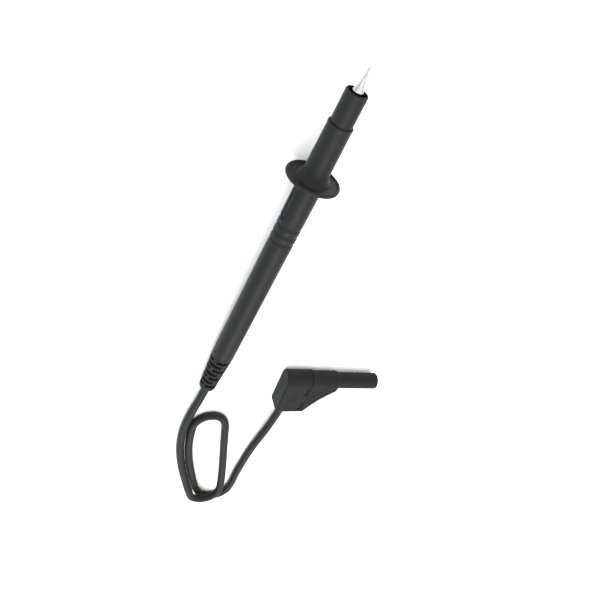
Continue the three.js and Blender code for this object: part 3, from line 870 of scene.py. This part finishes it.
def front_housing_field(p):
    section = plug_section(p) + 0.34 * smooth(p[:, 0], -18.8, -16.4)
    slope = beyond_line(p, SLOPE_POINT, SLOPE_NORMAL)
    toe = beyond_line(p, TOE_POINT, TOE_NORMAL)
    profile = either(slope, toe, 2.5)
    profile = meet(profile, PLUG_BOTTOM - p[:, 1], 1.1)
    body = meet(section, profile, 1.1)
    body = body - grip_ridges(p) + latch_relief(p)
    body = meet(body, p[:, 0] - PLUG_NECK, 1.0)
    body = meet(body, (PLUG_SEAM + SEAM_GAP) - p[:, 0], 0.16)
    from_axis = np.hypot(p[:, 1], p[:, 2])
    shroud = meet(from_axis - SLEEVE_R, p[:, 0] - SHROUD_END, 0.55)
    shroud = np.maximum(shroud, PLUG_NECK - 2 - p[:, 0])
    body = either(body, shroud, 0.35)
    spigot = block(p, (PLUG_SEAM - 2.5, -15.5, -2.9), (PLUG_SEAM + 2, 2.2, 2.9), 0.3)
    body = np.minimum(body, spigot)
    hollow = block(p, (PLUG_SEAM - 4, -14.4, -1.9), (PLUG_SEAM + 1.5, 1.2, 1.9), 0.2)
    mouth = np.maximum(from_axis - SHROUD_BORE_R, -1.5 - p[:, 0])
    pin_bore = np.maximum(from_axis - PIN_BORE_R, -p[:, 0] - 22)
    body = np.maximum(body, -hollow)
    body = np.maximum(body, -pin_bore)
    return without(body, mouth, 0.25)


def make_plug_shells():
    high = PLUG_HALF + 0.7
    cover_low = (PLUG_BACK - 0.5, PLUG_BOTTOM - 0.5, -high)
    cover_high = (PLUG_SEAM + 0.5, high, high)
    cover = meshed("plug_cover_shell", rear_cover_field, cover_low, cover_high, CELL, PLUG)
    dressed(cover, PLUG_PLASTIC, "body", "plug_plastic", "plug_rear_cover")
    housing_low = (PLUG_SEAM - 3, PLUG_BOTTOM - 0.5, -high)
    housing_high = (SHROUD_END + 0.5, high, high)
    housing = meshed("plug_front_shell", front_housing_field, housing_low, housing_high, CELL, PLUG)
    dressed(housing, PLUG_PLASTIC, "body", "plug_plastic", "plug_front_housing")


def terminal_field(p):
    """A block with a hole for the core and a wider one for the screw."""
    shape = block(p, (-29.3, -4, -2.8), (-23.6, 1.8, 2.8), 0.25)
    core_hole = np.maximum(round_lead(p, 0.95), p[:, 1])
    screw_hole = np.hypot(p[:, 0] - PLUG_LEAD_X, p[:, 1] - SCREW_Y) - 1.4
    screw_hole = np.maximum(screw_hole, 0.9 - p[:, 2])
    return without(np.maximum(shape, -core_hole), screw_hole, 0.1)


def screw_field(p):
    """A headless screw with a slot."""
    from_axis = np.hypot(p[:, 0] - PLUG_LEAD_X, p[:, 1] - SCREW_Y)
    shape = meet(meet(from_axis - 1.2, p[:, 2] - 2.85, 0.15), 0.98 - p[:, 2], 0.1)
    return np.maximum(shape, -block(p, (-28.2, -2.6, 2.3), (-25, -2.2, 3.5), 0.02))


def basket_field(p):
    """A bulging sprung cage round the pin, with six gaps along it."""
    along = p[:, 0] - BASKET_MIDDLE
    bulge = 1.66 + 0.36 * np.sqrt(np.clip(1 - (along / 4.7) ** 2, 0, 1))
    from_axis = np.hypot(p[:, 1], p[:, 2])
    shell = np.maximum(np.abs(from_axis - bulge) - 0.1, np.abs(along) - 4.5)
    turn = np.degrees(np.arctan2(p[:, 2], p[:, 1]))
    apart = np.abs((turn + 30) % 60 - 30) * math.pi / 180 * from_axis
    gap = np.maximum(apart - 0.16, np.abs(along) - 3.4)
    return np.maximum(shell, -gap)


def clamp_field(p):
    """A bar hollowed to sit on the lead."""
    bar = block(p, (-29.4, -13.6, 0.3), (-23.8, -10.4, 3), 0.25)
    return without(bar, round_lead(p, 2.1), 0.15)


def make_plug_inside():
    pin = turned("contact_pin", rounded([
        (-24, 0), (-24, 2, 0.2), (2, 2, 0.1), (2.4, 1.3, 0.15), (12.2, 1.3, 0.15),
        (12.6, 1.95, 0.1), (13.8, 1.95, 0.5), (14.4, 1.2, 0.3), (14.6, 0),
    ], 4), PLUG, INNER_SIDES)
    dressed(pin, NICKEL, "body", "nickel", "plug_pin")
    low, high = (-29.8, -4.5, -3.3), (-23.1, 2.3, 3.3)
    terminal = meshed("terminal_block", terminal_field, low, high, CELL, PLUG)
    dressed(terminal, NICKEL, "body", "nickel")
    low, high = (-28, -3.8, 0.7), (-25.2, -1, 3.1)
    screw = meshed("terminal_screw", screw_field, low, high, 0.1, PLUG)
    dressed(screw, NEEDLE_STEEL, "body", "needle_steel", "plug_terminal_screw")
    low, high = (2.4, -2.4, -2.4), (12.2, 2.4, 2.4)
    basket = meshed("contact_basket", basket_field, low, high, 0.07, PLUG)
    dressed(basket, BRASS, "body", "brass", "plug_contact_spring")
    entry = Matrix.Translation((PLUG_LEAD_X, PLUG_BOTTOM, 0))
    upright = PLUG @ entry @ Matrix.Rotation(math.pi / 2, 4, "Z")
    lead_end = rod("lead_in_plug", 0.7, 9.8, LEAD_R, upright)
    dressed(lead_end, LEAD_JACKET, "body", "lead_jacket", "plug_lead_end")
    core = rod("core_in_plug", 10.1, 13.3, CORE_R, upright)
    dressed(core, COPPER, "body", "copper", "plug_core")
    low, high = (-29.9, -14.1, -0.2), (-23.3, -9.9, 3.5)
    clamp = meshed("clamp_bar", clamp_field, low, high, 0.18, PLUG)
    dressed(clamp, CARRIER_PLASTIC, "body", "carrier_plastic", "plug_cable_clamp")


# ---------- stage ----------


FLOOR_REACH = 20.0
WORLD_STRENGTH = 2.5
KEY_PLACE = CAMERA_TARGET + 2 * Vector((-0.574, 0.079, 0.815))
KEY_SIZE = 1.2
KEY_POWER = 26


def make_key_light():
    """A soft disc, placed so that the handle mirrors it to the camera."""
    data = bpy.data.lights.new("key", "AREA")
    data.shape = "DISK"
    data.size = KEY_SIZE
    data.energy = KEY_POWER
    light = bpy.data.objects.new("key", data)
    light.matrix_world = aimed(KEY_PLACE, CAMERA_TARGET)
    bpy.context.scene.collection.objects.link(light)


def make_floor():
    reach = FLOOR_REACH
    corners = [(-reach, -reach, 0), (reach, -reach, 0), (reach, reach, 0), (-reach, reach, 0)]
    mesh = bpy.data.meshes.new("floor")
    mesh.from_pydata(corners, [], [(0, 1, 2, 3)])
    mesh.materials.append(floor_paper("floor_paper"))
    floor = bpy.data.objects.new("floor", mesh)
    bpy.context.scene.collection.objects.link(floor)


def make_world():
    """A pale studio: dimmer towards the horizon, faintly warm on one side and cool on the other."""
    world = bpy.data.worlds.new("studio")
    world.use_nodes = True
    tree = world.node_tree
    background = tree.nodes["Background"]
    background.inputs["Strength"].default_value = WORLD_STRENGTH
    where = tree.nodes.new("ShaderNodeTexCoord")
    split = tree.nodes.new("ShaderNodeSeparateXYZ")
    height = tree.nodes.new("ShaderNodeValToRGB")
    height.color_ramp.elements[0].color = (0.3, 0.3, 0.3, 1)
    height.color_ramp.elements[1].color = (1, 1, 1, 1)
    height.color_ramp.elements[1].position = 0.7
    tree.links.new(where.outputs["Generated"], split.inputs["Vector"])
    tree.links.new(split.outputs["Z"], height.inputs["Fac"])
    side = tree.nodes.new("ShaderNodeVectorMath")
    side.operation = "DOT_PRODUCT"
    side.inputs[1].default_value = (-0.3, 0.95, 0)
    spread = tree.nodes.new("ShaderNodeMapRange")
    spread.inputs["From Min"].default_value = -1
    tints = tree.nodes.new("ShaderNodeValToRGB")
    tints.color_ramp.elements[0].color = (1, 0.975, 0.93, 1)
    tints.color_ramp.elements[0].position = 0.2
    tints.color_ramp.elements[1].color = (0.93, 0.965, 1, 1)
    tints.color_ramp.elements[1].position = 0.8
    middle = tints.color_ramp.elements.new(0.5)
    middle.color = (1, 1, 1, 1)
    tree.links.new(where.outputs["Generated"], side.inputs[0])
    tree.links.new(side.outputs["Value"], spread.inputs["Value"])
    tree.links.new(spread.outputs["Result"], tints.inputs["Fac"])
    mixed = tree.nodes.new("ShaderNodeVectorMath")
    mixed.operation = "MULTIPLY"
    tree.links.new(height.outputs["Color"], mixed.inputs[0])
    tree.links.new(tints.outputs["Color"], mixed.inputs[1])
    tree.links.new(mixed.outputs["Vector"], background.inputs["Color"])
    bpy.context.scene.world = world


def make_stage():
    make_floor()
    make_world()
    make_key_light()
    bpy.context.scene.view_settings.view_transform = "Standard"


# ---------- assembly ----------

make_camera()
lead, lead_line, lead_length = make_lead()
make_boot()
make_handle()
make_front_barrel()
make_guard_sleeve()
make_needle()
make_return_spring()
make_probe_inside()
make_plug_shells()
make_plug_inside()
make_stage()
